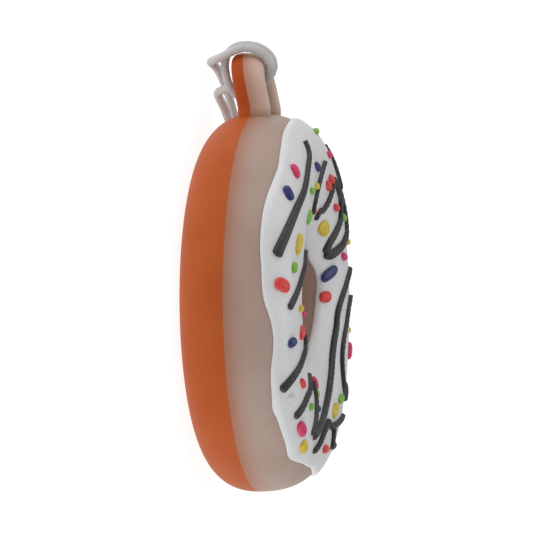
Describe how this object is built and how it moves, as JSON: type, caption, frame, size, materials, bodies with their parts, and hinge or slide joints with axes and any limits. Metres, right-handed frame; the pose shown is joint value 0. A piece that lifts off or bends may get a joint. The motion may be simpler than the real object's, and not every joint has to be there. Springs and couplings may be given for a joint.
{
  "type": "toy sprinkle frosted doughnut charm",
  "caption": "Soft plastic doughnut charm with an orange and taupe dough ring, white icing, dark drizzle, coloured sprinkles, a hanging loop and a thin elastic.",
  "frame": {"origin": "centre of the bounding box's base without the elastic: the charm lies on its flat back at z = 0, with the ring's centre at y = -2.45 mm", "axes": "+Z the way the icing faces, +Y from the ring towards its hanging loop, +X the side where the spare elastic is coiled"},
  "size_m": [0.0422, 0.0364, 0.01],
  "materials": {
    "dough_orange": "matt soft plastic",
    "dough_taupe": "matt soft plastic",
    "icing_white": "satin paint",
    "drizzle_black": "satin paint",
    "sprinkle_red": "satin paint",
    "sprinkle_magenta": "satin paint",
    "sprinkle_yellow": "satin paint",
    "sprinkle_green": "satin paint",
    "sprinkle_navy": "satin paint",
    "elastic_white": "braided elastic"
  },
  "bodies": {
    "root": {"dough_back": "dough_orange", "dough_front": "dough_taupe", "icing": "icing_white", "elastic": "elastic_white", "elastic_coil": "elastic_white", "elastic_return": "elastic_white", "elastic_knot": "elastic_white"}
  },
  "joints": []
}
